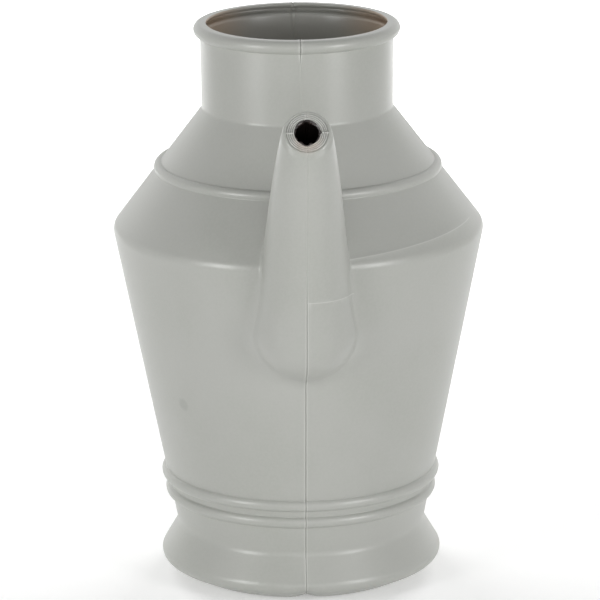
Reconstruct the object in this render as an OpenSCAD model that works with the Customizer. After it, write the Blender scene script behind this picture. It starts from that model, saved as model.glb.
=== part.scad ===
// Watering can in the shape of a milk churn, blown in one piece.
// The hollow spout faces -Y, the hollow handle +Y, and the mould parts in the plane X = 0.
// The origin is the centre of the foot, on the surface that the can stands on.

/* [Shell] */
// Thickness of the blown wall
wall = 2; // [1.2:0.1:2.5]

/* [Body] */
// Widest diameter, where the body meets the shoulder
body_d = 200; // [180:1:240]
// Height of that widest corner
body_h = 193.5; // [180:0.5:205]
// Radius that rounds the widest corner
body_round = 8; // [3:1:16]
// Diameter of the body just above the beads, where its cone begins
cone_d = 147; // [140:1:160]
// Height at which the cone begins
cone_h = 59.5; // [58:0.5:64]

/* [Neck and rim] */
// Diameter of the neck where it leaves the shoulder
neck_d = 102.5; // [85:0.5:125]
// Height at which the neck leaves the shoulder
neck_h = 258; // [245:0.5:270]
// Widening of the neck's diameter from the shoulder to the rim
neck_flare = 1; // [0:0.5:6]
// Height of the rim, and of the can
rim_h = 304; // [290:1:370]
// Radius of the hollow bead round the rim
rim_bead_r = 3.5; // [3.2:0.1:5]
// Diameter of the mouth inside the lip
mouth_d = 97; // [75:0.5:99]

/* [Foot] */
// Diameter of the foot at its widest
foot_d = 156.5; // [140:0.5:180]
// Height of the foot's widest edge
foot_edge_h = 9; // [6:0.5:14]
// Diameter at which the foot's underside meets the floor
floor_d = 120; // [112:1:130]
// Radius that rounds the foot's underside into the floor ring
floor_round = 20; // [4:1:24]
// Diameter of the hollow under the base
recess_d = 92; // [60:1:98]
// Depth of the hollow under the base
recess_h = 5; // [3:0.5:8]
// Diameter of the waist above the foot
waist_d = 134.5; // [120:0.5:140]
// Height of the waist
waist_h = 27.5; // [22:0.5:34]
// Radius of the waist's inward curve
waist_round = 5.5; // [3:0.5:9]
// Length of the pinched seam under the base
pinch_l = 76; // [40:1:80]
// Width of the pinched seam
pinch_w = 1.8; // [1:0.1:3]

/* [Beads] */
// Width of each bead above the waist
bead_w = 6.4; // [5.8:0.1:7]
// Height that each of these beads stands out
bead_out = 2.8; // [2:0.1:3.2]
// Height of the lower bead above the floor
bead_low_h = 46.5; // [45:0.5:47]
// Distance between the two beads
bead_step = 10; // [8.5:0.5:10]
// Diameter of the body just under the beads
bead_under_d = 140.5; // [138:0.5:146]
// Width of the bead on the shoulder
shoulder_bead_w = 5.6; // [5.2:0.1:8]
// Height that the shoulder's bead stands out
shoulder_bead_out = 2.1; // [1.5:0.1:2.2]
// Place of that bead on the shoulder, as a share of the way up
shoulder_bead_at = 0.51; // [0.35:0.01:0.65]

/* [Spout] */
// Height of the rim above the spout's mouth centre
spout_drop = 30; // [4:0.5:40]
// Reach of the mouth's centre beyond the widest corner
spout_out = 34; // [28:1:60]
// Radius of the spout at its root
spout_root_r = 26; // [18:0.5:28]
// Depth of the root's centre inside the body's skin
spout_root_in = 10; // [6:1:14]
// Height of the widest corner above the root's centre
spout_root_drop = 37; // [30:0.5:50]
// Radius of the spout just behind its mouth
spout_tip_r = 12.5; // [11.5:0.5:16]
// Angle of the mouth's face, from facing forward to facing up
mouth_tilt = 38; // [25:1:50]
// Diameter of the hole cut in the spout's closed end
hole_d = 13; // [8:0.5:14]
// Radius of the bead round the spout's end
tip_bead_r = 1.5; // [1:0.1:1.8]
// Height that this bead stands out of the end
tip_bead_out = 0.9; // [0.6:0.1:1.5]

/* [Handle] */
// Width of the handle, across the can
grip_w = 28; // [22:1:34]
// Depth of the handle
grip_t = 18; // [14:1:22]
// Finger gap between the upright grip and the widest corner
grip_gap = 33; // [28:1:50]
// Height of the handle's upper run above the foot of the neck
grip_top_rise = 4; // [-4:1:8]
// Bend radius at the top of the handle
bend_top_r = 32; // [24:1:40]
// Height of the widest corner above the handle's lower run
grip_low_drop = 53.5; // [45:0.5:80]
// Bend radius at the foot of the handle
bend_low_r = 44; // [30:1:50]

/* [Hidden] */
$fn = 96;
arc_steps = 6; // steps in each rounded stretch of the outline
tube_sides = 32; // sides of the spout's tube
tube_steps = 14; // rings along the spout's tube
cap_steps = 4; // rings in the round end at the spout's root
tube_top = 0.985; // share of the centre line at which the tube stops, inside the closed end
bore_top = 0.97; // share of the centre line at which the hollow in it stops
mouth_pull = 6; // how late the rings turn from the centre line's heading to the mouth's
rise_out = 0.19; // reach of the centre line's first handle, as a share of the spout's
rise_up = 0.366; // rise of that handle, as a share of the spout's
lean_in = 0.31; // reach of the last handle, as a share of the spout's
lean_down = 0.2; // rise of that handle, as a share of the spout's
swell = 0.9; // how the spout widens from its mouth: evenly at 1, and earlier below that
end_t = 3; // how far the spout's closed end reaches back over its tube
end_step = 0.4; // how far that end stands out beside the tube
end_slope = 0.6; // slope from the end's bead down to its flat, across the end
end_round_out = 0.9; // rounding of the end's outer edge, as a share of the bead's radius
end_round_in = 0.5; // rounding of the bead's inner edge, as a share of that radius
recess_round = 3; // rounding of the edge where the hollow's roof turns down
ring_land = 1.5; // step from the hollow's wall to the flat of the floor ring
ring_round = 1.5; // rounding of the floor ring's inner edge
foot_round = 5; // rounding of the foot's widest edge
neck_round = 3; // rounding of the crease where the neck leaves the shoulder
seam_t = 1; // how far the pinched seam hangs under the base
eps = 0.5; // how far a cut runs past the face that it opens

body_r = body_d / 2;
neck_r = neck_d / 2;
rim_r = neck_r + neck_flare / 2;
floor_ring_r = recess_d / 2 + wall + ring_land;
recess_r = recess_d / 2 - recess_h / 2;

// ---- Outline of the shell, from the axis under the base out and up to the lip ----

function unit(v) = v / norm(v);
function cross2(u, v) = u.x * v.y - u.y * v.x;
function left_of(v) = [-v.y, v.x];

// Arc of radius r that rounds the corner at b, between a and c
function rounded(a, b, c, r) =
    let (
        u = unit(b - a),
        v = unit(c - b),
        side = sign(cross2(u, v)),
        turn = acos(u * v),
        centre = b - r * tan(turn / 2) * u + side * r * left_of(u),
        from = -side * left_of(u)
    )
    [for (i = [0:arc_steps])
        let (w = side * turn * i / arc_steps)
        centre + r * [from.x * cos(w) - from.y * sin(w), from.x * sin(w) + from.y * cos(w)]];

// Bead on the line from a towards b: its middle at distance at, its width w, standing out by out
function bead(a, b, at, w, out) =
    let (
        u = unit(b - a),
        r = (w * w / 4 + out * out) / (2 * out),
        half = asin(w / 2 / r),
        centre = a + at * u + (r - out) * left_of(u)
    )
    [for (i = [-arc_steps:arc_steps])
        let (w = half * i / arc_steps)
        centre + r * (sin(w) * u - cos(w) * left_of(u))];

// The same outline moved to its left by w, square to each stretch
function inset(path, w) =
    let (last = len(path) - 1)
    [for (i = [0:last])
        let (
            before = unit(path[max(i, 1)] - path[max(i, 1) - 1]),
            after = unit(path[min(i, last - 1) + 1] - path[min(i, last - 1)]),
            n = left_of(before) + left_of(after)
        )
        path[i] + w * n * 2 / (n * n)];

base = [0, recess_h];
recess_edge = [recess_r, recess_h];
floor_in = [floor_ring_r, 0];
floor_out = [floor_d / 2, 0];
foot_edge = [foot_d / 2, foot_edge_h];
waist = [waist_d / 2, waist_h];
beads_under = [bead_under_d / 2, bead_low_h - bead_w / 2];
cone_start = [cone_d / 2, cone_h];
widest = [body_r, body_h];
neck_foot = [neck_r, neck_h];
neck_top = [rim_r, rim_h - 2 * rim_bead_r];
shoulder_l = norm(neck_foot - widest);

outer = concat(
    [base],
    rounded(base, recess_edge, floor_in, recess_round),
    rounded(recess_edge, floor_in, floor_out, ring_round),
    rounded(floor_in, floor_out, foot_edge, floor_round),
    rounded(floor_out, foot_edge, waist, foot_round),
    rounded(foot_edge, waist, beads_under, waist_round),
    bead(beads_under, cone_start, bead_w / 2, bead_w, bead_out),
    bead(beads_under, cone_start, bead_w / 2 + bead_step, bead_w, bead_out),
    [cone_start],
    rounded(cone_start, widest, neck_foot, body_round),
    bead(widest, neck_foot, shoulder_l * shoulder_bead_at, shoulder_bead_w, shoulder_bead_out),
    rounded(widest, neck_foot, neck_top, neck_round),
    [for (w = [-90:180 / 2 / arc_steps:90])
        [rim_r + rim_bead_r * cos(w), rim_h - rim_bead_r + rim_bead_r * sin(w)]],
    [[mouth_d / 2, rim_h]]
);
inner = inset(outer, wall);

module body_outside() {
    rotate_extrude()
        polygon(concat(outer, [[0, rim_h]]));
}

module body_inside() {
    rotate_extrude()
        polygon(concat(inner, [[mouth_d / 2, rim_h + eps], [0, rim_h + eps]]));
}

// ---- Spout: a tapered tube that rises beside the shoulder and leans out to its mouth ----

function cone_r(h) = (cone_d + (body_d - cone_d) * (h - cone_h) / (body_h - cone_h)) / 2;

spout_root_h = body_h - spout_root_drop;
root = [spout_root_in - cone_r(spout_root_h), spout_root_h];
mouth = [-body_r - spout_out, rim_h - spout_drop];
mouth_dir = [-cos(mouth_tilt), sin(mouth_tilt)];
span = mouth - root;
rise = root + [rise_out * span.x, rise_up * span.y];
lean = mouth - [lean_in * span.x, lean_down * span.y];

// Centre line of the tube, a curve of the third degree in the plane X = 0
function centre_at(t) =
    root * pow(1 - t, 3) + 3 * rise * t * pow(1 - t, 2)
    + 3 * lean * t * t * (1 - t) + mouth * pow(t, 3);
function heading_at(t) =
    let (along = unit((rise - root) * pow(1 - t, 2) + 2 * (lean - rise) * t * (1 - t)
        + (mouth - lean) * t * t))
    unit(along * (1 - pow(t, mouth_pull)) + mouth_dir * pow(t, mouth_pull));
function tube_r(t) = spout_tip_r + (spout_root_r - spout_tip_r) * pow(1 - t, swell);

// One ring of the tube: centre c and heading h in the plane X = 0, radius r
function ring(c, h, r) =
    [for (i = [0:tube_sides - 1])
        let (w = 360 * i / tube_sides, out = c + r * sin(w) * left_of(h))
        [r * cos(w), out.x, out.y]];

// The tube's skin, less a wall of thickness w, up to share top of its centre line
module tube(w, top) {
    foot_r = tube_r(0) - w;
    foot_h = heading_at(0);
    rings = concat(
        [for (i = [1:cap_steps])
            let (a = 90 * i / (cap_steps + 1))
            ring(root - foot_r * cos(a) * foot_h, foot_h, foot_r * sin(a))],
        [for (i = [0:tube_steps])
            let (t = top * i / tube_steps)
            ring(centre_at(t), heading_at(t), tube_r(t) - w)]
    );
    last = len(rings) - 1;
    n = tube_sides;
    polyhedron(
        points = [for (r = rings) for (p = r) p],
        faces = concat(
            [[for (i = [n - 1:-1:0]) i]],
            [for (k = [0:last - 1]) for (i = [0:n - 1])
                [k * n + i, (k + 1) * n + (i + 1) % n, (k + 1) * n + i]],
            [for (k = [0:last - 1]) for (i = [0:n - 1])
                [k * n + i, k * n + (i + 1) % n, (k + 1) * n + (i + 1) % n]],
            [[for (i = [0:n - 1]) last * n + i]]
        )
    );
}

// Places its children on the centre line of the mouth, with Z out of the hole
module at_mouth() {
    translate([0, mouth.x, mouth.y])
        rotate([90 - mouth_tilt, 0, 0])
            children();
}

// The closed end: a button with a round bead at its edge and a flat floor inside the bead
module spout_end() {
    r = spout_tip_r + end_step;
    bead_in = r - 2 * tip_bead_r;
    back = [r, -end_t];
    edge = [r, tip_bead_out];
    crest = [bead_in, tip_bead_out];
    floor_edge = [bead_in - end_slope, 0];
    at_mouth()
        rotate_extrude()
            polygon(concat(
                [[0, -end_t], back],
                rounded(back, edge, crest, tip_bead_r * end_round_out),
                rounded(edge, crest, floor_edge, tip_bead_r * end_round_in),
                [floor_edge, [0, 0]]
            ));
}

module hole() {
    at_mouth()
        translate([0, 0, -end_t - 2 * wall])
            cylinder(d = hole_d, h = end_t + 2 * wall + tip_bead_out + eps);
}

// ---- Handle: a hollow grip that leaves the neck, turns down and runs in to the body ----

grip_y = body_r + grip_gap + grip_t / 2;
grip_top_h = neck_h + grip_top_rise;
grip_low_h = body_h - grip_low_drop;
bend_top_y = grip_y - bend_top_r;
bend_low_y = grip_y - bend_low_r;
grip_l = grip_top_h - bend_top_r - grip_low_h - bend_low_r;

module grip_section(w, t) {
    square([w - t, t], center = true);
    for (x = [-1, 1])
        translate([x * (w - t) / 2, 0])
            circle(d = t);
}

// Bend of radius r through angle a from +Y towards +Z
module bend(r, a, w, t) {
    rotate([90, 0, 90])
        rotate_extrude(angle = a)
            translate([r, 0])
                rotate(90)
                    grip_section(w, t);
}

// One level run from the grip's bend to inside the shell, at height h
module run(y, h, w, t, over) {
    translate([0, y, h])
        rotate([90, 0, 0])
            linear_extrude(y - neck_r / 2 + over)
                grip_section(w, t);
}

// The whole handle, its two ends lengthened by over
module handle(w, t, over) {
    run(bend_top_y, grip_top_h, w, t, over);
    translate([0, bend_top_y, grip_top_h - bend_top_r])
        bend(bend_top_r, 90, w, t);
    translate([0, grip_y, grip_low_h + bend_low_r])
        linear_extrude(grip_l)
            grip_section(w, t);
    translate([0, bend_low_y, grip_low_h + bend_low_r])
        bend(bend_low_r, -90, w, t);
    run(bend_low_y, grip_low_h, w, t, over);
}

// ---- Base: the seam where the mould pinched the tube shut ----

module pinch_seam() {
    translate([-pinch_w / 2, -pinch_l / 2, recess_h - seam_t])
        cube([pinch_w, pinch_l, seam_t + wall / 2]);
}

module watering_can() {
    color("#adaea8")
        difference() {
            union() {
                body_outside();
                tube(0, tube_top);
                spout_end();
                handle(grip_w, grip_t, 0);
                pinch_seam();
            }
            body_inside();
            tube(wall, bore_top);
            hole();
            handle(grip_w - 2 * wall, grip_t - 2 * wall, wall);
        }
}

watering_can();
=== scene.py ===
"""The looks of a one-piece blown plastic watering can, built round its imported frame."""

from math import acos, asin, cos, pi, radians, sin, tan

import bmesh
import bpy
import numpy as np
from mathutils import Matrix, Vector


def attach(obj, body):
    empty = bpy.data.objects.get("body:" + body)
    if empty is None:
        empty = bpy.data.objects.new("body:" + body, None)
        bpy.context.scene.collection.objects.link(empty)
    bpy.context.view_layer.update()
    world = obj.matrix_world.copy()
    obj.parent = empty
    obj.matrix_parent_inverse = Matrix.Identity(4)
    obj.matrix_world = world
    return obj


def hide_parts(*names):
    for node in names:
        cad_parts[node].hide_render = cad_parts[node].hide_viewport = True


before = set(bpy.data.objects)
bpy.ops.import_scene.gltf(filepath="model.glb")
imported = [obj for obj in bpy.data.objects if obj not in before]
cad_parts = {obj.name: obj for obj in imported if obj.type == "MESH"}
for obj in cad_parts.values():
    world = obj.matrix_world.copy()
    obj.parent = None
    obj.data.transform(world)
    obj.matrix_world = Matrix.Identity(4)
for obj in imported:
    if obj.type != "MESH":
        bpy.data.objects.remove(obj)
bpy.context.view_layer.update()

MM = 0.001
scene = bpy.context.scene
scene.view_settings.view_transform = "Standard"

# ---- Camera: a long lens, a little above the can, with the can turned slightly from it ----

CAMERA_AWAY = 2.325
CAMERA_UP = radians(15.29)
CAMERA_TURN = radians(2.1)
CAMERA_ROLL = radians(-0.506)
LOOK_AT = Vector((0, 0, 0.150))
LENS, SENSOR_W = 257.26, 36
SHIFT_X = 0.0016
CLIP_END = 20


def make_camera():
    """Stands the camera in front of the spout and tilts it a trace about its own line of sight."""
    level = cos(CAMERA_UP)
    back = Vector((-sin(CAMERA_TURN) * level, -cos(CAMERA_TURN) * level, sin(CAMERA_UP)))
    right = Vector((0, 0, 1)).cross(back).normalized()
    up = back.cross(right)
    straight, tipped = cos(CAMERA_ROLL), sin(CAMERA_ROLL)
    right, up = right * straight + up * tipped, up * straight - right * tipped
    data = bpy.data.cameras.new("camera")
    data.lens = LENS
    data.sensor_width = SENSOR_W
    data.shift_x = SHIFT_X
    data.clip_end = CLIP_END
    camera = bpy.data.objects.new("camera", data)
    turn = Matrix((right, up, back)).transposed().to_4x4()
    camera.matrix_world = Matrix.Translation(LOOK_AT + back * CAMERA_AWAY) @ turn
    scene.collection.objects.link(camera)
    scene.camera = camera


make_camera()

# ---- Sizes of the shell, as its maker would measure them ----

WALL = 2 * MM
BODY_R, BODY_H, BODY_ROUND = 100 * MM, 193.5 * MM, 6 * MM
CONE_R, CONE_H = 73.5 * MM, 59.5 * MM
NECK_R, NECK_H, NECK_ROUND = 51.25 * MM, 258 * MM, 3 * MM
RIM_R, RIM_H, RIM_BEAD_R, MOUTH_R = 51.75 * MM, 304 * MM, 3.5 * MM, 48.5 * MM
FOOT_R, FOOT_EDGE_H, FOOT_ROUND = 78.25 * MM, 9 * MM, 5 * MM
FLOOR_R, FLOOR_ROUND = 60 * MM, 20 * MM
RECESS_R, RECESS_H, RECESS_ROUND = 46 * MM, 5 * MM, 3 * MM
RING_LAND, RING_ROUND = 3.5 * MM, 1.5 * MM
WAIST_R, WAIST_H, WAIST_ROUND = 67.25 * MM, 27.5 * MM, 5.5 * MM
BEAD_W, BEAD_OUT, BEAD_LOW_H = 6.4 * MM, 2.8 * MM, 46.5 * MM
BEAD_STEP, BEAD_UNDER_R = 10 * MM, 70.25 * MM
SHOULDER_BEAD_W, SHOULDER_BEAD_OUT, SHOULDER_BEAD_AT = 5.6 * MM, 2.1 * MM, 0.51
SPOUT_ROOT_R, SPOUT_TIP_R, SPOUT_SWELL = 26 * MM, 12.5 * MM, 0.9
SPOUT_FLARE, FLARE_FALL = 2.8 * MM, 6  # extra fullness at the spout's root, and how fast it fades
SPOUT_ROOT = np.array((-82.68, 159)) * MM
SPOUT_MOUTH = np.array((-134, 274)) * MM
RISE_SHARE, LEAN_SHARE = (0.19, 0.366), (0.31, 0.2)  # pulls on its centre line, as shares of its span
MOUTH_TILT = radians(38)
HOLE_R = 6.9 * MM
HOLE_PEAK, HOLE_DIP, HOLE_NICK = 0.35, 0.15, 0.6  # in mm, where the knife strayed
HOLE_PEAK_W, HOLE_NICK_W = 0.35, 0.12  # in radians round the hole
TIP_WALL = 0.3  # share of the wall's thickness left round the hole
TIP_WALL_NEAR, TIP_WALL_FAR = 11 * MM, 22 * MM
END_ROUND, END_ROWS = 1.6 * MM, 16  # edge of the spout's end, and the rows from it in to the hole
GROOVE_IN, GROOVE_H = 0.3 * MM, 0.3 * MM
RIDGE_FIRST, RIDGE_STEP, RIDGE_H = 0.9 * MM, 1 * MM, 0.3 * MM
CROSS_LINE_W = 0.1 * MM
# Across the parting line, in mm: its cuts, and the places and widths of its lips, groove and second line
SEAM_CUTS = (-0.9, -0.6, -0.35, -0.15, 0.15, 0.35, 0.6, 0.9, 1.4, 1.7, 2)
SEAM_LIP_AT, SEAM_LIP_W, SEAM_GROOVE_W = 0.6, 0.32, 0.2
SEAM_SECOND_AT, SEAM_SECOND_W = 1.7, 0.25
SEAM_GROOVE, SEAM_LIP, SEAM_SECOND = 0.3 * MM, 0.18 * MM, 0.08 * MM
NECK_SEAM, LIP_SEAM, LIP_SEAM_H = 0.25, 1.4, 8 * MM  # its strength on the neck and on the lip
SPOUT_SEAM, SPOUT_SEAM_FALL = 0.4, (176 * MM, 190 * MM)  # its strength high on the spout
SEAM_STRIP = 8 * MM
PINCH_IN, PINCH_ACROSS, PINCH_RISE = 1.9 * MM, 3.4 * MM, 12 * MM  # how the foot is drawn in there
WITNESS_H, WITNESS_W = 0.2 * MM, 0.3 * MM
SMUDGE = (-64 * MM, -53 * MM, 108 * MM)
SPOUT_WITNESS_H = 179 * MM
SHOULDER_WITNESS_H, SHOULDER_WITNESS_RISE = 195.6 * MM, 0.0625
SHOULDER_WITNESS_FROM, SHOULDER_WITNESS_TO = 20 * MM, 90 * MM
IN_FRONT = -90 * MM  # what lies beyond this belongs to the spout
ON_SKIN = 1 * MM
GRIP_W, GRIP_T, GRIP_Y = 28 * MM, 18 * MM, 142 * MM
GRIP_TOP_H, BEND_TOP_R = 262 * MM, 32 * MM
GRIP_LOW_H, BEND_LOW_R = 140 * MM, 44 * MM
PINCH_L, PINCH_W, PINCH_H = 76 * MM, 1.8 * MM, 1 * MM

ROUND_STEPS = 144  # columns round the body
ARC_STEPS = 7  # rows in each rounded stretch
ROW_STEP, CORNER_STEP = 6 * MM, 0.35 * MM  # longest row on a straight, and the first beside a corner
SPOUT_SIDES, ROOT_ROWS, SPOUT_ROWS, END_ARC_ROWS = 128, 16, 18, 5
COLLAR_S, LAST_S = 0.56, 0.975  # shares of the spout's length at its first level ring and its last
# Rough size of the ring from which the spout's root settles on to the body
ROOT_W, ROOT_TALL, ROOT_MIDDLE_H, ROOT_AWAY = 27 * MM, 44 * MM, 170 * MM, 96 * MM
ROOT_UP, ROOT_DOWN = 1.09, 0.91
FAN_FROM, FAN_EASE = 1.4, 0.75  # turn at which the root's rows start to fan, and how they spread
GRIP_SIDES, BEND_TOP_ROWS, BEND_LOW_ROWS, RUN_ROWS, HOLD_ROWS = 64, 12, 14, 8, 5
RUN_FROM, RUN_TO, HALVINGS = 10 * MM, 130 * MM, 40
SETTLE_STEPS, PROBE, DAMPING = 12, 0.01 * MM, 1e-6
SIDE_CLEAR = 30 * MM
# How far the soft corners at the roots reach over the body, and how far up the limb
SPOUT_REACH, SPOUT_TOP_REACH, GRIP_REACH = 7 * MM, 1.5 * MM, 4 * MM
SPOUT_CLIMB, SPOUT_LOW_CLIMB, CLIMB_FALL = 2.5 * MM, 6 * MM, (132 * MM, 160 * MM)
REACH_FALL = 150 * MM, 196 * MM  # heights between which the spout's soft corner narrows
BLEND_ROWS = 7
SKIRT = 2 * MM  # strip of skin left between a soft corner and the body's own faces
SLIVER = 0.02 * MM  # cuts that leave an edge or a face thinner than this are closed up

# ---- Outline of the body, in the plane of the axis: radius and height ----


def unit(v):
    return v / np.linalg.norm(v)


def left_of(v):
    return np.array((-v[1], v[0]))


def rounded(a, b, c, r):
    """Points of the arc that rounds the corner at b, on the way from a to c."""
    u, v = unit(b - a), unit(c - b)
    side = np.sign(u[0] * v[1] - u[1] * v[0])
    turn = acos(np.clip(u @ v, -1, 1))
    centre = b - r * tan(turn / 2) * u + side * r * left_of(u)
    start = -side * left_of(u)
    x, y = start
    for i in range(ARC_STEPS + 1):
        w = side * turn * i / ARC_STEPS
        yield centre + r * np.array((x * cos(w) - y * sin(w), x * sin(w) + y * cos(w)))


def bead(a, b, at, w, out):
    """Points of a bead that stands out by out from the line a to b, its middle at distance at."""
    u = unit(b - a)
    r = (w * w / 4 + out * out) / (2 * out)
    half = asin(w / 2 / r)
    centre = a + at * u + (r - out) * left_of(u)
    for i in range(-ARC_STEPS, ARC_STEPS + 1):
        turn = half * i / ARC_STEPS
        yield centre + r * (sin(turn) * u - cos(turn) * left_of(u))


def outline():
    """The outer skin from the axis under the base out and up to the edge of the lip."""
    base, recess = np.array((0, RECESS_H)), np.array((RECESS_R - RECESS_H / 2, RECESS_H))
    ring_in, ring_out = np.array((RECESS_R + RING_LAND, 0)), np.array((FLOOR_R, 0))
    foot, waist = np.array((FOOT_R, FOOT_EDGE_H)), np.array((WAIST_R, WAIST_H))
    under, cone = np.array((BEAD_UNDER_R, BEAD_LOW_H - BEAD_W / 2)), np.array((CONE_R, CONE_H))
    widest, neck = np.array((BODY_R, BODY_H)), np.array((NECK_R, NECK_H))
    top = np.array((RIM_R, RIM_H - 2 * RIM_BEAD_R))
    shoulder = np.linalg.norm(neck - widest) * SHOULDER_BEAD_AT
    points = [base]
    points += rounded(base, recess, ring_in, RECESS_ROUND)
    points += rounded(recess, ring_in, ring_out, RING_ROUND)
    points += rounded(ring_in, ring_out, foot, FLOOR_ROUND)
    points += rounded(ring_out, foot, waist, FOOT_ROUND)
    points += rounded(foot, waist, under, WAIST_ROUND)
    points += bead(under, cone, BEAD_W / 2, BEAD_W, BEAD_OUT)
    points += bead(under, cone, BEAD_W / 2 + BEAD_STEP, BEAD_W, BEAD_OUT)
    points += [cone]
    points += rounded(cone, widest, neck, BODY_ROUND)
    points += bead(widest, neck, shoulder, SHOULDER_BEAD_W, SHOULDER_BEAD_OUT)
    points += rounded(widest, neck, top, NECK_ROUND)
    for i in range(2 * ARC_STEPS + 1):
        w = pi * i / 2 / ARC_STEPS - pi / 2
        points.append(np.array((RIM_R, RIM_H - RIM_BEAD_R)) + RIM_BEAD_R * np.array((cos(w), sin(w))))
    points.append(np.array((MOUTH_R, RIM_H)))
    return np.array(points)


def stepped(points):
    """The same outline with rows added: close to each corner, and about ROW_STEP apart on straights."""
    rows = [points[0]]
    for a, b in zip(points, points[1:]):
        length = np.linalg.norm(b - a)
        count = max(1, round(length / ROW_STEP))
        shares = [k / count for k in range(1, count)]
        if length > 6 * CORNER_STEP:
            shares = [CORNER_STEP / length, *shares, 1 - CORNER_STEP / length]
        rows += [a + (b - a) * share for share in shares] + [b]
    return rows


OUTLINE = outline()

# ---- How far a point lies outside the body, the spout and the handle's two runs ----


def off_line(points, ends_a, ends_b):
    """Each point's offset from the nearest stretch of a line, that stretch, and the place along it."""
    along = ends_b - ends_a
    share = ((points[:, None] - ends_a) * along).sum(2) / (along * along).sum(1)
    share = np.clip(share, 0, 1)
    off = points[:, None] - ends_a - share[:, :, None] * along
    nearest = np.linalg.norm(off, axis=2).argmin(1)
    rows = np.arange(len(points))
    return off[rows, nearest], nearest, share[rows, nearest]


def off_body(points):
    flat = np.stack((np.hypot(points[:, 0], points[:, 1]), points[:, 2]), 1)
    off, k, _ = off_line(flat, OUTLINE[:-1], OUTLINE[1:])
    along = (OUTLINE[1:] - OUTLINE[:-1])[k]
    side = along[:, 0] * off[:, 1] - along[:, 1] * off[:, 0]
    return -np.sign(side) * np.linalg.norm(off, axis=1)


SPAN = SPOUT_MOUTH - SPOUT_ROOT
RISE = SPOUT_ROOT + SPAN * RISE_SHARE
LEAN = SPOUT_MOUTH - SPAN * LEAN_SHARE
MOUTH_OUT = np.array((-cos(MOUTH_TILT), sin(MOUTH_TILT)))
MOUTH_PULL = 6


def centre_at(t):
    """Centre line of the spout, in the plane X = 0."""
    t = np.asarray(t)[..., None]
    return (SPOUT_ROOT * (1 - t) ** 3 + 3 * RISE * t * (1 - t) ** 2
            + 3 * LEAN * t * t * (1 - t) + SPOUT_MOUTH * t ** 3)


def heading_at(t):
    """The way the centre line runs, turned to face out of the mouth at its end."""
    t = np.asarray(t)[..., None]
    along = ((RISE - SPOUT_ROOT) * (1 - t) ** 2 + 2 * (LEAN - RISE) * t * (1 - t)
             + (SPOUT_MOUTH - LEAN) * t * t)
    along = along / np.linalg.norm(along, axis=-1, keepdims=True)
    turned = along * (1 - t ** MOUTH_PULL) + MOUTH_OUT * t ** MOUTH_PULL
    return turned / np.linalg.norm(turned, axis=-1, keepdims=True)


def spout_r(t):
    swell = (SPOUT_ROOT_R - SPOUT_TIP_R) * (1 - t) ** SPOUT_SWELL
    return SPOUT_TIP_R + swell + SPOUT_FLARE * (1 - t) ** FLARE_FALL


def spout_point(s, turn):
    """Points of the spout's skin: s is below 0 on its round root, and 1 at its mouth."""
    t, dip = np.clip(s, 0, 1), np.clip(-s * SPOUT_L / spout_r(0), 0, pi / 2)
    centre, ahead = centre_at(t), heading_at(t)
    r = spout_r(t)
    across, down = r * np.cos(dip), r * np.sin(dip)
    front = np.stack((-ahead[:, 1], ahead[:, 0]), 1)
    flat = centre - ahead * down[:, None] + front * (across * np.sin(turn))[:, None]
    return np.column_stack((across * np.cos(turn), flat))


LINE_STEPS = 160
LINE = centre_at(np.linspace(0, 1, LINE_STEPS + 1))
SPOUT_L = np.linalg.norm(np.diff(LINE, axis=0), axis=1).sum()


def spout_place(points):
    """The s and the turn at which each point lies on, or nearest to, the spout's skin."""
    ends = np.column_stack((np.zeros(LINE_STEPS + 1), LINE))
    off, k, share = off_line(points, ends[:-1], ends[1:])
    t = (k + share) / LINE_STEPS
    ahead = heading_at(t)
    front = np.stack((-ahead[:, 1], ahead[:, 0]), 1)
    turn = np.arctan2((off[:, 1:] * front).sum(1), off[:, 0])
    dip = np.arcsin(np.clip(-(off[:, 1:] * ahead).sum(1) / np.linalg.norm(off, axis=1), 0, 1))
    return np.where(t > 0, t, -dip * spout_r(0) / SPOUT_L), turn


def off_spout(points):
    ends = np.column_stack((np.zeros(LINE_STEPS + 1), LINE))
    off, k, share = off_line(points, ends[:-1], ends[1:])
    return np.linalg.norm(off, axis=1) - spout_r((k + share) / LINE_STEPS)


def spout_reach(heights):
    """Reach of the spout's soft corner over the body, which is short above the body's widest corner."""
    low, high = REACH_FALL
    share = np.clip((heights - low) / (high - low), 0, 1)
    return SPOUT_REACH + (SPOUT_TOP_REACH - SPOUT_REACH) * share * share * (3 - 2 * share)


def spout_climb(heights):
    climb = np.interp(heights, CLIMB_FALL, (SPOUT_LOW_CLIMB, SPOUT_CLIMB))
    return np.minimum(climb, spout_reach(heights))


def off_run(height):
    """The distance outside one of the handle's level runs, whose middle is at that height."""
    def off(points):
        beyond = np.maximum(abs(points[:, 0]) - (GRIP_W - GRIP_T) / 2, 0)
        return np.hypot(beyond, points[:, 2] - height) - GRIP_T / 2
    return off


def settled(points, gaps, targets):
    """The points moved by the shortest way to where each gap has its target."""
    points = points.copy()
    for _ in range(SETTLE_STEPS):
        miss = np.stack([gap(points) - target for gap, target in zip(gaps, targets)], 1)
        slopes = np.stack([
            np.stack([(gap(points + step) - gap(points - step)) / (2 * PROBE)
                      for step in np.eye(3) * PROBE], 1)
            for gap in gaps], 1)
        across = slopes.transpose(0, 2, 1)
        square = slopes @ across + DAMPING * np.eye(len(gaps))
        points -= (across @ np.linalg.solve(square, miss[:, :, None]))[:, :, 0]
    return points


def blend_rows(points, limb, reach, climb):
    """Rows of the soft corner between the body and a limb, from the body's skin to the given points."""
    rows = [points]
    for k in range(1, BLEND_ROWS + 1):
        w = pi / 2 * k / BLEND_ROWS
        points = settled(points, (off_body, limb), (climb * (1 - sin(w)), reach * (1 - cos(w))))
        rows.append(points)
    return rows[::-1]


# ---- Rows of the spout and the handle ----


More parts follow.
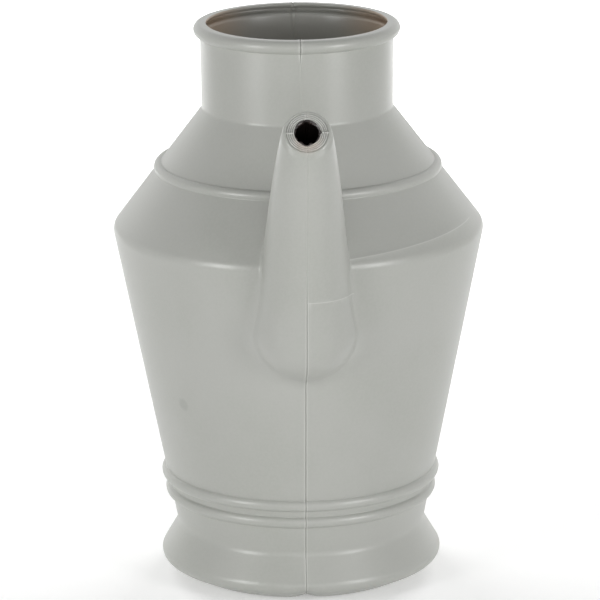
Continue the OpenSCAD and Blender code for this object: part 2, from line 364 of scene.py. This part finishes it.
def hump(distance, width):
    return np.exp(-(distance / width) ** 2)


def even_ring(ring):
    """The same closed ring of points, evenly spaced along its length."""
    closed = np.vstack((ring, ring[:1]))
    length = np.append(0, np.cumsum(np.linalg.norm(np.diff(closed, axis=0), axis=1)))
    want = length[-1] * np.arange(len(ring)) / len(ring)
    return np.column_stack([np.interp(want, length, closed[:, k]) for k in range(3)])


SPOUT_INDEX = np.arange(SPOUT_SIDES)
FROM_BACK = np.minimum(SPOUT_INDEX, SPOUT_SIDES - SPOUT_INDEX)
EVEN_HALF = pi * FROM_BACK / (SPOUT_SIDES // 2)


def turn_of(half):
    """The turn round the spout of points that lie this far round from its back, on each side."""
    return np.where(SPOUT_INDEX <= SPOUT_SIDES // 2, -half, half) - pi / 2


def spout_rows():
    """Loops of the spout from the body's skin up to the edge of its end's flat."""
    round_it = 2 * pi * SPOUT_INDEX / SPOUT_SIDES
    x, z = -ROOT_W * np.sin(round_it), ROOT_TALL * np.cos(round_it)
    y = -np.sqrt(ROOT_AWAY ** 2 - x * x)
    ring = np.column_stack((x, y, ROOT_MIDDLE_H + np.where(z > 0, ROOT_UP, ROOT_DOWN) * z))
    for _ in range(4):
        ring = even_ring(ring)
        climb = spout_climb(ring[:, 2])
        ring = settled(ring, (off_body, off_spout), (climb, 0))
    rows = blend_rows(ring, off_spout, spout_reach(ring[:, 2]), climb)
    s, turn = spout_place(ring)
    half = np.arccos(-np.sin(turn))
    first = FROM_BACK[half > FAN_FROM].min()
    fan = np.clip((FROM_BACK - first) / (SPOUT_SIDES // 2 - first), 0, 1) ** FAN_EASE
    fan = half[first] + (pi - half[first]) * fan
    collar = np.where(FROM_BACK < first, half, fan)
    for k in range(1, ROOT_ROWS + 1):
        share = k / ROOT_ROWS
        turn = turn_of(half + (collar - half) * share)
        rows.append(spout_point(s + (COLLAR_S - s) * share, turn))
    for k in range(1, SPOUT_ROWS + 1):
        share = k / SPOUT_ROWS
        s = np.full(SPOUT_SIDES, COLLAR_S + (LAST_S - COLLAR_S) * share)
        rows.append(spout_point(s, turn_of(collar + (EVEN_HALF - collar) * share)))
    return rows


def mouth_point(turn, r, out):
    """A point round the mouth's axis, at radius r and height out in front of the mouth's flat."""
    front = np.array((-MOUTH_OUT[1], MOUTH_OUT[0]))
    flat = SPOUT_MOUTH + MOUTH_OUT * np.asarray(out)[..., None] + front * (r * np.sin(turn))[:, None]
    return np.column_stack((r * np.cos(turn), flat))


def end_rows():
    """Loops of the spout's closed end, round its edge and in over its flat to the cut hole."""
    turn = turn_of(EVEN_HALF)
    edge_r = SPOUT_TIP_R - END_ROUND
    rows = []
    for k in range(1, END_ARC_ROWS + 1):
        w = pi / 2 * k / END_ARC_ROWS
        r = np.full(SPOUT_SIDES, edge_r + END_ROUND * cos(w))
        rows.append(mouth_point(turn, r, END_ROUND * (sin(w) - 1)))
    hole = hole_r(turn)
    for k in range(1, END_ROWS + 1):
        r = edge_r + (hole - edge_r) * k / END_ROWS
        rows.append(mouth_point(turn, r, end_lift(r, r * np.sin(turn))))
    return rows


def end_lift(r, down):
    """Height of the end's flat at a radius: a groove inside its edge, fine rings and a line across."""
    inward = SPOUT_TIP_R - END_ROUND - r
    rings = RIDGE_H * np.cos(2 * pi * (inward - RIDGE_FIRST) / RIDGE_STEP) * (inward > RIDGE_FIRST / 2)
    line = 2 * RIDGE_H * (abs(down) < CROSS_LINE_W)
    return rings - GROOVE_H * hump(inward - GROOVE_IN, GROOVE_IN) + line


def hole_r(turn):
    """Radius of the hole, which a knife cut by hand: pointed at the top and nicked on one side."""
    wobble = 0.12 * np.cos(3 * turn + 0.5) - 0.2 * np.cos(2 * turn)
    peak = HOLE_PEAK * hump(wrapped(turn + pi / 2), HOLE_PEAK_W)
    dip = HOLE_DIP * hump(wrapped(turn - pi / 2), HOLE_PEAK_W)
    nick = HOLE_NICK * hump(wrapped(turn), HOLE_NICK_W)
    return HOLE_R + MM * (wobble + (peak + dip) + nick)


def wrapped(angle):
    """The same angle between -pi and pi."""
    return (angle + pi) % (2 * pi) - pi


def grip_section():
    """Offsets across and outwards of the handle's rounded section."""
    flat = (GRIP_W - GRIP_T) / 2
    whole = 4 * flat + pi * GRIP_T
    for i in range(GRIP_SIDES):
        place = (whole * i / GRIP_SIDES + flat) % whole
        side = 1
        if place > whole / 2:
            place, side = place - whole / 2, -1
        if place < 2 * flat:
            yield side * (place - flat), side * -GRIP_T / 2
        else:
            w = (place - 2 * flat) / (GRIP_T / 2) - pi / 2
            yield side * (flat + GRIP_T / 2 * cos(w)), side * GRIP_T / 2 * sin(w)


def run_start(across, height):
    """Points where a level run of the handle comes out of its soft corner on the body."""
    low, high = np.full(GRIP_SIDES, RUN_FROM), np.full(GRIP_SIDES, RUN_TO)
    for _ in range(HALVINGS):
        middle = (low + high) / 2
        inside = off_body(np.column_stack((across, middle, height))) < GRIP_REACH
        low, high = np.where(inside, middle, low), np.where(inside, high, middle)
    return np.column_stack((across, high, height))


def grip_rows():
    """Loops of the handle from the neck, round the grip and back to the body."""
    across, out = np.array(list(grip_section())).T
    top, low = run_start(across, GRIP_TOP_H + out), run_start(across, GRIP_LOW_H - out)
    rows = blend_rows(top, off_run(GRIP_TOP_H), GRIP_REACH, GRIP_REACH)
    stations = []
    for k in range(BEND_TOP_ROWS + 1):
        w = pi / 2 * k / BEND_TOP_ROWS
        stations.append((GRIP_Y - BEND_TOP_R, GRIP_TOP_H - BEND_TOP_R, BEND_TOP_R, pi / 2 - w))
    for k in range(BEND_LOW_ROWS + 1):
        w = pi / 2 * k / BEND_LOW_ROWS
        stations.append((GRIP_Y - BEND_LOW_R, GRIP_LOW_H + BEND_LOW_R, BEND_LOW_R, -w))
    loops = [
        np.column_stack((across, y + (r + out) * cos(w), z + (r + out) * sin(w)))
        for y, z, r, w in stations]
    chain = [top, *loops, low]
    for k, (a, b) in enumerate(zip(chain, chain[1:])):
        count = RUN_ROWS if k == 0 else HOLD_ROWS if k == BEND_TOP_ROWS + 1 else 1
        rows += [a + (b - a) * i / count for i in range(1, count + 1)]
    return rows + blend_rows(low, off_run(GRIP_LOW_H), GRIP_REACH, GRIP_REACH)[::-1][1:]


# ---- The shell's mesh ----


def edges_round(bm, known=frozenset()):
    """The edges of the skin's openings, apart from those already known."""
    return [e for e in bm.edges if len(e.link_faces) == 1 and e not in known]


def open_for(bm, limb, reach, side):
    """Takes out the body's faces under a limb and draws the hole's edge in, parallel to the limb."""
    before = set(edges_round(bm))
    bm.verts.index_update()
    places = np.array([v.co for v in bm.verts])
    near = (limb(places) < reach(places[:, 2]) + SKIRT) & (places[:, 1] * side > SIDE_CLEAR)
    doomed = [f for f in bm.faces if any(near[v.index] for v in f.verts)]
    bmesh.ops.delete(bm, geom=doomed, context="FACES")
    hole = edges_round(bm, before)
    edge = list(dict.fromkeys(v for e in hole for v in e.verts))
    places = np.array([v.co for v in edge])
    for _ in range(3):
        places = settled(places, (off_body, limb), (0, reach(places[:, 2]) + SKIRT))
    for v, at in zip(edge, places):
        v.co = at
    return hole


def draw_out(bm, place, loop, rows):
    """Extrudes a loop of edges once for each row, and sets each new loop on that row's points."""
    for row in rows:
        made = bmesh.ops.extrude_edge_only(bm, edges=loop)["geom"]
        fresh = {v for v in made if isinstance(v, bmesh.types.BMVert)}
        for v in fresh:
            v.co = row[v[place]]
        edges = [e for e in made if isinstance(e, bmesh.types.BMEdge)]
        loop = [e for e in edges if fresh.issuperset(e.verts)]
    return loop


def first_loop(bm, place, row):
    """A closed loop of edges on a row's points, each point numbered."""
    made = bmesh.ops.create_circle(bm, segments=len(row), radius=1)["verts"]
    for i, v in enumerate(made):
        v[place] = i
        v.co = row[i]
    return list({e for v in made for e in v.link_edges})


def join_root(bm, hole, loop):
    bmesh.ops.bridge_loops(bm, edges=hole + loop)


def scored(bm, point, normal, picked):
    """Cuts the picked faces along a plane."""
    faces = [f for f in bm.faces if picked(f.calc_center_median())]
    geom = faces + list({e for f in faces for e in f.edges}) + list({v for f in faces for v in f.verts})
    bmesh.ops.bisect_plane(bm, geom=geom, plane_co=point, plane_no=normal, dist=PROBE)


def witness_lift(points):
    """Height of the fine raised lines that the mould's second joint left on the right of the spout."""
    x, y, z = points.T
    front = (x > 0) & (y < 0)
    on_spout = (abs(off_spout(points)) < ON_SKIN) & (y < IN_FRONT)
    on_shoulder = abs(off_body(points)) < ON_SKIN
    spout = hump(z - SPOUT_WITNESS_H, WITNESS_W) * on_spout
    shoulder = hump(z - SHOULDER_WITNESS_H - SHOULDER_WITNESS_RISE * x, WITNESS_W) * on_shoulder
    shoulder = shoulder * (x > SHOULDER_WITNESS_FROM) * (x < SHOULDER_WITNESS_TO)
    return WITNESS_H * front * (spout + shoulder)


def seam_lift(points):
    """Height of the parting line: a fine groove between two lips, and a fainter line beside it."""
    x, y, z = points.T
    across = x / MM
    lift = SEAM_LIP * hump(abs(across) - SEAM_LIP_AT, SEAM_LIP_W)
    lift = lift - SEAM_GROOVE * hump(across, SEAM_GROOVE_W)
    lift += SEAM_SECOND * hump(across - SEAM_SECOND_AT, SEAM_SECOND_W)
    on_lip = z > RIM_H - LIP_SEAM_H
    on_neck = (z > NECK_H) & (z < RIM_H - LIP_SEAM_H) & (np.hypot(x, y) < RIM_R + ON_SKIN)
    lift *= np.where(on_neck, NECK_SEAM, np.where(on_lip, LIP_SEAM, 1))
    on_spout = y < -BODY_R
    lift *= np.where(on_spout, np.interp(z, SPOUT_SEAM_FALL, (1, SPOUT_SEAM)), 1)
    on_base = (z < RECESS_H + ON_SKIN) & (abs(y) < PINCH_L / 2) & (np.hypot(x, y) < RECESS_R - 4 * MM)
    return np.where(on_base, PINCH_H * (abs(across) < PINCH_W / 2 / MM - 0.01), lift)


def foot_lift(points):
    """How far the foot is drawn in where the mould pinched it, at the front and the back."""
    x, y, z = points.T
    low = np.clip((WAIST_H - z) / PINCH_RISE, 0, 1) * (np.hypot(x, y) > RECESS_R + 2 * MM)
    return -PINCH_IN * low / (1 + (x / PINCH_ACROSS) ** 2)


def end_marks(points):
    """The heights already given to the end's flat, for the shading of its rings."""
    off = points[:, 1:] - SPOUT_MOUTH
    out, down = off @ MOUTH_OUT, off @ np.array((-MOUTH_OUT[1], MOUTH_OUT[0]))
    r = np.hypot(points[:, 0], down)
    on_flat = (abs(out) < 0.8 * MM) & (r < SPOUT_TIP_R - END_ROUND)
    return np.where(on_flat, end_lift(r, down), 0)


def mark(bm):
    """Cuts the lines of the mould's joints into the skin and raises or sinks them."""
    for across in SEAM_CUTS:
        scored(bm, (across * MM, 0, 0), (1, 0, 0), lambda place: abs(place.x) < SEAM_STRIP)
    for drop in (-WITNESS_W, 0, WITNESS_W):
        scored(bm, (0, 0, SPOUT_WITNESS_H + drop), (0, 0, 1),
               lambda place: place.x > 0 and place.y < IN_FRONT)
        scored(bm, (0, 0, SHOULDER_WITNESS_H + drop), (-SHOULDER_WITNESS_RISE, 0, 1),
               lambda place: place.x > 15 * MM and place.y < -20 * MM)
    off_axis = [e for e in bm.edges if all(np.hypot(*v.co.xy) > RECESS_R for v in e.verts)]
    bmesh.ops.dissolve_degenerate(bm, dist=SLIVER, edges=off_axis)
    bmesh.ops.recalc_face_normals(bm, faces=bm.faces)
    bm.normal_update()
    points = np.array([v.co for v in bm.verts])
    seam, witness = seam_lift(points), witness_lift(points)
    lines = seam + witness + end_marks(points)
    # raised and sunk keep each line's height for the material, which paints highlight on the raised
    # lines and shade in the sunk ones
    raised, sunk = bm.verts.layers.float["raised"], bm.verts.layers.float["sunk"]
    for v, line, move in zip(bm.verts, lines, seam + witness + foot_lift(points)):
        v.co += v.normal * move
        v[raised], v[sunk] = max(line, 0) / WITNESS_H, max(-line, 0) / SEAM_GROOVE


def make_shell():
    """The whole outer skin: the body turned about its axis, then the spout and the handle drawn out."""
    bm = bmesh.new()
    place = bm.verts.layers.int.new("place")
    bm.verts.layers.float.new("raised")
    bm.verts.layers.float.new("sunk")
    rows = [bm.verts.new((r, 0, z)) for r, z in stepped(OUTLINE)]
    line = [bm.edges.new(pair) for pair in zip(rows, rows[1:])]
    bmesh.ops.spin(bm, geom=rows + line, axis=(0, 0, 1), cent=(0, 0, 0), angle=2 * pi,
                   steps=ROUND_STEPS, use_merge=True)
    bmesh.ops.remove_doubles(bm, verts=bm.verts, dist=0.001 * MM)

    spout = spout_rows()
    hole = open_for(bm, off_spout, spout_reach, -1)
    loop = first_loop(bm, place, spout[0])
    join_root(bm, hole, loop)
    draw_out(bm, place, loop, spout[1:] + end_rows())

    grip = grip_rows()
    top = open_for(bm, off_run(GRIP_TOP_H), lambda heights: GRIP_REACH, 1)
    low = open_for(bm, off_run(GRIP_LOW_H), lambda heights: GRIP_REACH, 1)
    loop = first_loop(bm, place, grip[0])
    join_root(bm, top, loop)
    last = draw_out(bm, place, loop, grip[1:])
    join_root(bm, low, last)
    bmesh.ops.recalc_face_normals(bm, faces=bm.faces)
    mark(bm)
    return bm


def piece(bm, name, material):
    """A finished object at the origin, smooth and in one material."""
    mesh = bpy.data.meshes.new(name)
    bm.to_mesh(mesh)
    bm.free()
    mesh.shade_smooth()
    mesh.materials.append(material)
    made = bpy.data.objects.new(name, mesh)
    scene.collection.objects.link(made)
    return made


# ---- Materials ----


class Value:
    """A value in a node tree; arithmetic on it adds the nodes that work it out."""

    def __init__(self, tree, source=None):
        self.tree, self.source = tree, source

    def node(self, kind, settings, sockets, out=0):
        """Makes a node: its type, its settings, then what goes into its sockets."""
        made = self.tree.nodes.new("ShaderNode" + kind)
        for name, value in settings.items():
            setattr(made, name, value)
        for key, value in sockets.items():
            if isinstance(value, Value):
                self.tree.links.new(value.source, made.inputs[key])
            else:
                made.inputs[key].default_value = value
        return Value(self.tree, made.outputs[out] if made.outputs else None)

    def math(self, operation, *values):
        return self.node("Math", {"operation": operation}, dict(enumerate(values)))

    def __add__(self, other):
        return self.math("ADD", self, other)

    def __mul__(self, other):
        return self.math("MULTIPLY", self, other)

    __radd__, __rmul__ = __add__, __mul__

    def ramp(self, low, high):
        """0 up to low and 1 from high on, with a soft step between; low may be the greater."""
        sockets = {"Value": self, "From Min": low, "From Max": high}
        return self.node("MapRange", {"interpolation_type": "SMOOTHSTEP"}, sockets)

    def mixed(self, a, b):
        """The colour between a and b at this share."""
        return self.node("Mix", {"data_type": "RGBA"}, {0: self, 6: a, 7: b}, out=2)

    def noise(self, scale, detail=2):
        return self.node("TexNoise", {}, {"Vector": self, "Scale": scale, "Detail": detail})

    def near(self, place, reach):
        """1 at a place and 0 from reach on."""
        away = self.node("VectorMath", {"operation": "DISTANCE"}, {0: self, 1: place}, out=1)
        return away.ramp(reach, 0.45 * reach)


def material(name):
    """An empty material, and a value to start its nodes from."""
    made = bpy.data.materials.new(name)
    made.use_nodes = True
    made.node_tree.nodes.clear()
    return made, Value(made.node_tree)


def parts_of(place):
    return [place.node("SeparateXYZ", {}, {"Vector": place}, out=k) for k in range(3)]


def moulded(place):
    """The bare plastic's colour, and its fine grain and soft clouds."""
    cloud, grain = place.noise(14, 4).ramp(0.35, 0.65), place.noise(700, 3)
    colour = cloud.mixed((0.422, 0.432, 0.398, 1), (0.446, 0.453, 0.424, 1))
    colour = (grain.ramp(0.3, 0.7) * 0.35).mixed(colour, (0.47, 0.475, 0.445, 1))
    return colour, cloud, grain


def finished(start, colour, cloud, grain):
    """Gives a material its colour, the plastic's sheen and its fine grain."""
    bump = start.node("Bump", {}, {"Strength": 0.12, "Distance": 0.15 * MM, "Height": grain})
    shine = start.node("BsdfPrincipled", {}, {
        "Base Color": colour, "Roughness": 0.29 + cloud * 0.05, "IOR": 1.58, "Normal": bump})
    start.node("OutputMaterial", {}, {"Surface": shine})


def outer_plastic():
    """The skin outside, with its smudge, painted highlight on its raised lines, painted shade in its
    sunk grooves, and a warmer, paler patch below the spout's hole.
    """
    made, start = material("grey_plastic")
    place = start.node("TexCoord", {}, {}, out=3)
    colour, cloud, grain = moulded(place)
    colour = (place.near(SMUDGE, 4.6 * MM) * 0.35).mixed(colour, (0.29, 0.29, 0.27, 1))
    raised = start.node("Attribute", {"attribute_name": "raised"}, {}, out=2)
    sunk = start.node("Attribute", {"attribute_name": "sunk"}, {}, out=2)
    # Painted highlight: the raised lines and the crests of the end's rings are mixed toward a paler grey
    colour = raised.ramp(0.15, 1).mixed(colour, (0.56, 0.565, 0.535, 1))
    # Painted shade: the sunk groove of the parting line and the troughs of the end's rings are mixed
    # toward dark grey
    colour = (sunk.ramp(0.15, 1) * 0.45).mixed(colour, (0.2, 0.2, 0.18, 1))
    # A warmer, paler patch on the spout's end, just below and ahead of its hole
    cut = place.near((0, SPOUT_MOUTH[0] - 2 * MM, SPOUT_MOUTH[1] - 4 * MM), 9 * MM)
    colour = (cut * 0.4).mixed(colour, (0.56, 0.44, 0.36, 1))
    finished(start, colour, cloud, grain)
    return made


def inner_plastic():
    """The same plastic inside, with painted shade that darkens it all over and nearly blacks out the
    spout, and warm where light comes through the lip.
    """
    made, start = material("grey_plastic_inside")
    place = start.node("TexCoord", {}, {}, out=3)
    x, y, z = parts_of(place)
    colour, cloud, grain = moulded(place)
    # Painted shade: the inside is mixed toward a dark warm grey all over
    colour = (0.12 + cloud * 0.1).mixed(colour, (0.22, 0.195, 0.18, 1))
    glow = z.ramp(RIM_H - 40 * MM, RIM_H - 8 * MM) * start.math("ABSOLUTE", x).ramp(20 * MM, 48 * MM)
    colour = (glow * 0.45).mixed(colour, (0.62, 0.38, 0.21, 1))
    # Painted shade: inside the spout the colour is mixed nearly to black
    colour = y.ramp(-84 * MM, -100 * MM).mixed(colour, (0.03, 0.022, 0.02, 1))
    finished(start, colour, cloud, grain)
    return made


def thin_at_mouth(shell):
    """Marks how much of the wall's thickness each point keeps, which is less round the spout's hole."""
    share = shell.vertex_groups.new(name="wall")
    for v in shell.data.vertices:
        away = (v.co - Vector((0, *SPOUT_MOUTH))).length
        kept = float(np.interp(away, (TIP_WALL_NEAR, TIP_WALL_FAR), (TIP_WALL, 1)))
        share.add([v.index], kept, "REPLACE")


shell = piece(make_shell(), "can_shell", outer_plastic())
shell.data.materials.append(inner_plastic())
wall = shell.modifiers.new("wall", "SOLIDIFY")
wall.thickness = WALL
wall.offset = -1
wall.use_even_offset = False
wall.material_offset = wall.material_offset_rim = 1
wall.vertex_group = "wall"
thin_at_mouth(shell)
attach(shell, "root")
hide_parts("watering_can")

# ---- Stage ----

NEAR_LIFT, FAR_LIFT, LIFT_FROM, LIFT_TO = 0.3, 0.9, 0.6, 1.5  # how far the table is lit up, and where
TABLE_GLOW, ROOM_LIGHT = 0.16, 0.23
TABLE_SIZE, TABLE_DROP = 4, 0.2 * MM


def grey(level):
    return level, level, level, 1


def soft_light(name, azimuth, elevation, away, width, height, power):
    """A soft box that faces the can."""
    back = Vector((sin(azimuth) * cos(elevation), -cos(azimuth) * cos(elevation), sin(elevation)))
    data = bpy.data.lights.new(name, "AREA")
    data.shape = "RECTANGLE"
    data.size, data.size_y = width, height
    data.energy = power
    lamp = bpy.data.objects.new(name, data)
    lamp.location = LOOK_AT + back * away
    lamp.rotation_euler = back.to_track_quat("Z", "Y").to_euler()
    scene.collection.objects.link(lamp)
    return lamp


soft_light("left_box", radians(-50), radians(10), 1.6, 0.45, 0.8, 8)
soft_light("right_box", radians(44), radians(10), 1.6, 0.45, 0.8, 8.3)
for side in (-1, 1):
    lamp = soft_light("back_box", side * radians(150), radians(15), 1.6, 0.9, 1.6, 19)
    lamp.visible_glossy = False
soft_light("low_front_box", 0, radians(4), 1.9, 1.2, 0.5, 2.6)


def white_table():
    """A matt white table that looks white to the camera and keeps the can's shadow."""
    made, start = material("white_table")
    matt = start.node("BsdfDiffuse", {}, {"Color": grey(0.9)})
    place = start.node("TexCoord", {}, {}, out=3)
    away = place.node("VectorMath", {"operation": "LENGTH"}, {0: place}, out=1)
    seen = away.ramp(LIFT_FROM, LIFT_TO).mixed(grey(NEAR_LIFT), grey(FAR_LIFT))
    path = start.node("LightPath", {}, {})
    glow = start.node("Emission", {}, {"Color": path.mixed(grey(TABLE_GLOW), seen)})
    start.node("OutputMaterial", {}, {"Surface": start.node("AddShader", {}, {0: matt, 1: glow})})
    return made


bm = bmesh.new()
bmesh.ops.create_grid(bm, x_segments=2, y_segments=2, size=TABLE_SIZE)
bmesh.ops.translate(bm, verts=bm.verts, vec=(0, 0, -TABLE_DROP))
floor = piece(bm, "floor", white_table())

world = bpy.data.worlds.new("studio")
world.use_nodes = True
world.node_tree.nodes.clear()
scene.world = world
start = Value(world.node_tree)
path = start.node("LightPath", {}, {})
rays = {ray.name: Value(world.node_tree, ray) for ray in path.source.node.outputs}
white = rays["Is Camera Ray"] + rays["Is Glossy Ray"] + rays["Is Transmission Ray"]
strength = ROOM_LIGHT + (1 - ROOM_LIGHT) * white.math("MINIMUM", white, 1)
back = start.node("Background", {}, {"Color": grey(1), "Strength": strength})
start.node("OutputWorld", {}, {"Surface": back})
